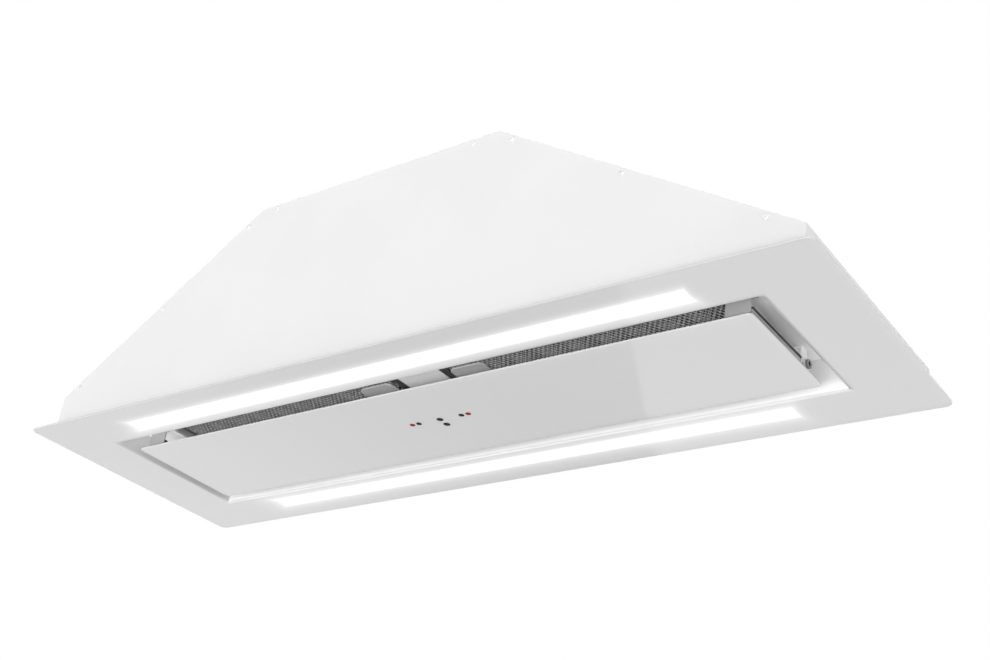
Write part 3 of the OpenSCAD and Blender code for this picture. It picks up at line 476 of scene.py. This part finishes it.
FINISHES = {
    "white_enamel": powder_coat("white_enamel", 0.79, 0.42),
    "gloss_enamel": gloss_enamel("gloss_enamel", GLOSS_TONE, "suction_panel", 0.8),
    "galvanised": galvanised("galvanised", 0.62),
    "steel": brushed("steel", 0.8, 0.34, metallic=0.6),
    "grey_steel": brushed("grey_steel", 0.42, 0.42, metallic=0.5),
    "aluminium_mesh": brushed("aluminium_mesh", 0.86, 0.34, along=(400, 400, 400), metallic=0.3),
    "aluminium_frame": brushed("aluminium_frame", 0.62, 0.36),
    "grey_plastic": plastic("grey_plastic", (0.56, 0.56, 0.57)),
    "black_plastic": plastic("black_plastic", (0.05, 0.05, 0.055), 0.45),
    "opal_diffuser": opal("opal_diffuser", GLOSS_TONE, STRIP_POWER),
    "lamp_board": lacquer("lamp_board", (0.88, 0.88, 0.85)),
    "foam_seal": foam("foam_seal", (0.12, 0.12, 0.12)),
    "dark_print": printed("dark_print", (0.012, 0.012, 0.014)),
    "red_print": printed("red_print", (0.3, 0.006, 0.012)),
    "magnet": plastic("magnet", (0.09, 0.09, 0.095), 0.35),
    "motor_case": brushed("motor_case", 0.5, 0.4, metallic=0.8),
}
# The frame plate shines with a painted halo round the strips
FRAME_FINISH = gloss_enamel("frame_enamel", GLOSS_TONE, "frame_plate", 0.86, STRIP_POWER)
# Recess, trough and deck carry painted light of the strips; deck and rear wall carry painted shade
RECESS_FINISH = powder_coat("recess_enamel", RECESS_WHITE, RECESS_ROUGH,
                            painted_glow=painted_recess_glow(50 * MM, right_end=0.35), power=0.14)
TROUGH_FINISH = powder_coat("trough_enamel", RECESS_WHITE, RECESS_ROUGH,
                            painted_glow=painted_recess_glow(50 * MM, right_end=0.4), power=0.14)
DECK_FINISH = powder_coat("deck_enamel", RECESS_WHITE, RECESS_ROUGH, deck_shade,
                          painted_recess_glow(64 * MM, 0.3, left_end=0.25), 0.6)
LIP_FINISH = powder_coat("lip_enamel", RECESS_WHITE, RECESS_ROUGH, lip_shade)
# The left recess wall is the same white coat, painted darker as painted shade
SHADE_FINISH = powder_coat("shade_enamel", 0.64, RECESS_ROUGH)
ARM_FINISH = arm_steel("arm_steel", 0.5)
PIN_FINISH = pin_steel("pin_steel", 0.3)
STRAND_FINISH = strand_metal("strand_metal", 0.45, 0.98, 3.5 * MM)
# Dark core behind the strands: a sheet of painted shade deep in the filter
MESH_SHADE_CORE = brushed("mesh_shade_core", 0.06, 0.6, along=(400, 400, 400), metallic=0.6)


# Pieces

def clean_mesh(node):
    """The node's mesh with its flat faces joined, as a new bmesh."""
    bm = bmesh.new()
    bm.from_mesh(frame["nodes"][node].data)
    bmesh.ops.remove_doubles(bm, verts=bm.verts, dist=0.002 * MM)
    bmesh.ops.dissolve_limit(bm, angle_limit=math.radians(0.5), verts=bm.verts, edges=bm.edges)
    return bm


def sharp_edges(bm):
    """The edges between two faces that meet at more than the rounded angle."""
    limit = math.radians(ROUNDED_ANGLE)
    return [e for e in bm.edges if len(e.link_faces) == 2 and e.calc_face_angle(0) > limit]


def new_piece(name, bm, finish, body):
    """A visible piece from a bmesh, smooth but for its sharp edges, with a finish, on a body."""
    mesh = bpy.data.meshes.new(name)
    bm.to_mesh(mesh)
    bm.free()
    for face in mesh.polygons:
        face.use_smooth = True
    mesh.set_sharp_from_angle(angle=math.radians(SHARP_ANGLE))
    mesh.materials.append(finish)
    piece = bpy.data.objects.new(name, mesh)
    bpy.context.scene.collection.objects.link(piece)
    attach(piece, body)
    return piece


def soften(node, width, segments=2, finish=None, chosen=None):
    """The node with its sharp edges rounded, shown in place of the node."""
    bm = clean_mesh(node)
    edges = sharp_edges(bm)
    if chosen:
        edges = [e for e in edges if chosen(e)]
    bmesh.ops.bevel(bm, geom=edges, offset=width * MM, segments=segments, profile=0.5,
                    affect="EDGES", clamp_overlap=True, harden_normals=False)
    piece = new_piece(node + "_visual", bm, finish or FINISHES[slot_of[node]],
                      body_of_node[node])
    normals = piece.modifiers.new("weighted", "WEIGHTED_NORMAL")
    normals.keep_sharp = True
    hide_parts(node)
    return piece


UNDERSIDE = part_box("frame_plate")[0].z
# Half the width of the stretch round a light strip whose edges stay sharp
SLOT_ROOM = 15 * MM


def at_underside(edge):
    """True where the whole edge lies in the lowest face of the frame plate or below it."""
    return all(v.co.z < UNDERSIDE + 0.1 * MM for v in edge.verts)


def at_frame_edge(edge):
    """The lower outline of the frame plate, round the outside and round the opening."""
    lo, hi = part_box("front_diffuser")
    middle = sum((v.co for v in edge.verts), Vector()) / 2
    beside_slot = abs(abs(middle.y) + (lo.y + hi.y) / 2) < SLOT_ROOM and abs(middle.x) < hi.x
    return at_underside(edge) and not beside_slot


soften("frame_plate", 0.4, 3, FRAME_FINISH, at_frame_edge)
soften("suction_panel", 0.4, 3, chosen=at_underside)
for sheet in ("recess_front_wall", "recess_right_wall"):
    soften(sheet, 0.25, finish=RECESS_FINISH)
soften("filter_deck", 0.25, finish=DECK_FINISH)
soften("recess_left_wall", 0.25, finish=SHADE_FINISH)
soften("recess_rear_wall", 0.25, finish=LIP_FINISH)
for sheet in ("hinge_trough", "left_hinge_bracket", "right_hinge_bracket"):
    soften(sheet, 0.25, finish=TROUGH_FINISH)
for sheet in ("front_panel", "rear_panel", "left_end_wall", "right_end_wall", "left_slope_panel",
              "right_slope_panel", "top_panel", "panel_backing"):
    soften(sheet, 0.25)
for arm in ("left_arm", "right_arm"):
    soften(arm, 0.2, finish=ARM_FINISH)
for fitting in ("catch_posts", "catch_magnets", "blower_hangers", "corner_angles"):
    soften(fitting, 0.2)
soften("hinge_pins", 0.2, finish=PIN_FINISH)
soften("housing_screws", 0.6, finish=FINISHES["white_enamel"])
for block in ("left_latch", "right_latch", "left_filter_frame", "right_filter_frame", "control_box",
              "lamp_driver", "touch_control", "left_flap", "right_flap", "duct_collar",
              "cable_gland", "front_light_channel", "rear_light_channel"):
    soften(block, 0.3)


def strand_rows(low, high, cell, pitch, shift):
    """Rows of points across the filter, each a zigzag strand that meets its neighbours."""
    count = round((high.y - low.y) / (cell / 2))
    step = (high.y - low.y) / count
    rows = []
    for row in range(1, int((high.x - low.x) / pitch)):
        side = 1 if row % 2 else -1
        rows.append([(low.x + row * pitch + shift + side * (1 if i % 2 else -1) * pitch * 0.42,
                      low.y + i * step) for i in range(count + 1)])
    return rows


def add_strand(verts, faces, points, z, lean, width, depth):
    """A flat strand along the points; lean turns its section as in expanded metal."""
    start = len(verts)
    across, up = math.cos(lean), math.sin(lean)
    for i, (x, y) in enumerate(points):
        for a, b in ((-1, -1), (1, -1), (1, 1), (-1, 1)):
            verts.append((x + (a * width * across - b * depth * up) / 2, y,
                          z + (a * width * up + b * depth * across) / 2))
        if i:
            for k in range(4):
                n = (k + 1) % 4
                faces.append((start + 4 * i - 4 + k, start + 4 * i - 4 + n,
                              start + 4 * i + n, start + 4 * i + k))


def clear_runs(points, low, high):
    """The parts of a strand that stay out of the channel from low to high."""
    runs = [[]]
    for x, y in points:
        if low.x < x < high.x and low.y < y < high.y:
            runs.append([])
        else:
            runs[-1].append((x, y))
    return [run for run in runs if len(run) > 1]


def woven_filter(side):
    """Layers of expanded metal on a dark core, a sheet of painted shade deep in the filter, with a
    channel for the latch bolt.
    """
    node = side + "_filter_mesh"
    lo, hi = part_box(node)
    core = clean_mesh(node)
    inner = [v.co for v in core.verts if lo.y + MM < v.co.y < hi.y - MM]
    channel = [Vector([pick(v[i] for v in inner) + grow * MM for i in range(2)])
               for pick, grow in ((min, -BOLT_ROOM), (max, BOLT_ROOM))]
    verts, faces = [], []
    margin = 0.2 * MM
    low = Vector((lo.x + margin, lo.y + margin))
    high = Vector((hi.x - margin, hi.y - margin))
    for height, cell, pitch, lean, shift in STRAND_LAYERS:
        for points in strand_rows(low, high, cell * MM, pitch * MM, shift * MM):
            for run in clear_runs(points, *channel):
                add_strand(verts, faces, run, lo.z + height * MM, lean,
                           STRAND_WIDTH * MM, STRAND_DEPTH * MM)
    mesh = bpy.data.meshes.new(side + "_strands")
    mesh.from_pydata(verts, [], faces)
    mesh.materials.append(STRAND_FINISH)
    strands = bpy.data.objects.new(side + "_strands", mesh)
    bpy.context.scene.collection.objects.link(strands)
    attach(strands, "hood")
    for v in core.verts:
        v.co.z = max(v.co.z, lo.z + CORE_LIFT * MM)
    core = new_piece(side + "_mesh_shade_core", core, MESH_SHADE_CORE, "hood")
    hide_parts(node)
    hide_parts(node)


for side in ("left", "right"):
    woven_filter(side)

for name, node in frame["nodes"].items():
    node.data.materials.clear()
    node.data.materials.append(FINISHES[slot_of[name]])


# Stage

def stage_plane(name, corners, material):
    """A flat piece of the stage that is no part of the hood."""
    mesh = bpy.data.meshes.new(name)
    mesh.from_pydata(corners, [], [tuple(range(len(corners)))])
    mesh.materials.append(material)
    plane = bpy.data.objects.new(name, mesh)
    bpy.context.scene.collection.objects.link(plane)
    return plane


def floor_finish():
    """Pale matt floor that fades to plain white far from the hood."""
    f = Finish("floor")
    point, (x, y, _) = f.place()
    far = ((x * x + y * y) ** 0.5).step(1.2, 5)
    near_tone = f.noise(point, 3, 3) * 0.02 + 0.88
    return f.surface(
        Base_Color=f.grey(near_tone * (1 - far)),
        Roughness=0.9,
        Specular_IOR_Level=0.0,
        Emission_Color=f.grey(far * 0.86 + 0.14),
        Emission_Strength=1.0)


floor = stage_plane("floor", [(sx * FLOOR_HALF, sy * FLOOR_HALF, FLOOR_Z)
                              for sx, sy in ((-1, -1), (1, -1), (1, 1), (-1, 1))], floor_finish())
for ray in ("diffuse", "glossy", "shadow"):
    setattr(floor, "visible_" + ray, False)


def card_finish():
    """Grey card whose left side fades out; seen in reflections only."""
    f = Finish("card")
    _, (x, _, z) = f.place()
    clear = f.add("ShaderNodeBsdfTransparent")
    grey = f.add("ShaderNodeEmission", None, {"Color": colour(0.4), "Strength": 1.0})
    # Place along the hood, in metres, where the panel mirrors this point of the card
    along_hood = x * 0.751 - z * 0.768 + x * z * 0.663 - 0.349
    mixed = f.add("ShaderNodeMixShader", None, {0: along_hood.step(-0.37, 0.1), 1: clear, 2: grey})
    f.add("ShaderNodeOutputMaterial", None, {"Surface": mixed})
    return f.material


card = stage_plane("card", [(-0.75, 0, -0.95), (0.217, 0, -0.95),
                            (0.457, 0, 0.006), (-0.75, 0, 0.006)], card_finish())
# The card stands 1 m behind the hood, turned so that the panel mirrors it to the camera
card.matrix_world = Matrix.Rotation(math.radians(39), 4, "Z") @ Matrix.Translation((0, 1, 0))
for ray in ("camera", "diffuse", "transmission", "volume_scatter", "shadow"):
    setattr(card, "visible_" + ray, False)

world = bpy.data.worlds.new("studio")
bpy.context.scene.world = world
sky = Tree(world)
direction = sky.add("ShaderNodeTexCoord", output="Generated")
dx, dy, dz = sky.split(direction)


def lobe(toward, exponent, gain):
    """Soft light from one side; gain is what it sheds on a surface that faces it."""
    facing = (dx * toward[0] + dy * toward[1] + dz * toward[2]).max(0)
    return facing ** exponent * (gain * (exponent + 2) / 2)


# A long soft strip of light in front of the hood and below it, along X
tilt = math.radians(33)
off_strip = dz * math.cos(tilt) - dy * math.sin(tilt)
in_front = (-dy).step(0, 0.2)
along = dx.step(-0.5, -0.1) * (1 - dx.step(0.62, 0.95))
strip = (1 - off_strip * off_strip).max(0) ** 90 * in_front * along * 14.8
above = lobe((-0.5, 0.35, 0.79), 3, 0.8)
below = lobe((0, -0.25, -0.97), 8, 0.14)
at_right = lobe((0.96, 0.1, 0.26), 14, 0.35)
level = 0.19 + strip + above + below + at_right
camera_ray = sky.add("ShaderNodeLightPath", output="Is Camera Ray")
glossy_ray = sky.add("ShaderNodeLightPath", output="Is Glossy Ray")
seen = camera_ray.max(glossy_ray)
light = seen + (1 - seen) * level
grey_light = sky.add("ShaderNodeCombineColor", None, {part: light for part in range(3)})
backdrop = sky.add("ShaderNodeBackground", None, {"Color": grey_light})
sky.add("ShaderNodeOutputWorld", None, {"Surface": backdrop})


# Camera

def set_camera():
    """The camera of the photograph, solved from the outline of the frame plate."""
    data = bpy.data.cameras.new("camera")
    data.sensor_width = 36
    data.lens = 51.37
    data.clip_start = 0.01
    data.clip_end = 100
    camera = bpy.data.objects.new("camera", data)
    bpy.context.scene.collection.objects.link(camera)
    turn = Euler([math.radians(angle) for angle in (118.9127, -6.6919, 35.2527)])
    camera.matrix_world = Matrix.LocRotScale((0.80557, -0.93659, -0.57393), turn, None)
    bpy.context.scene.camera = camera


set_camera()
bpy.context.scene.view_settings.view_transform = "Standard"
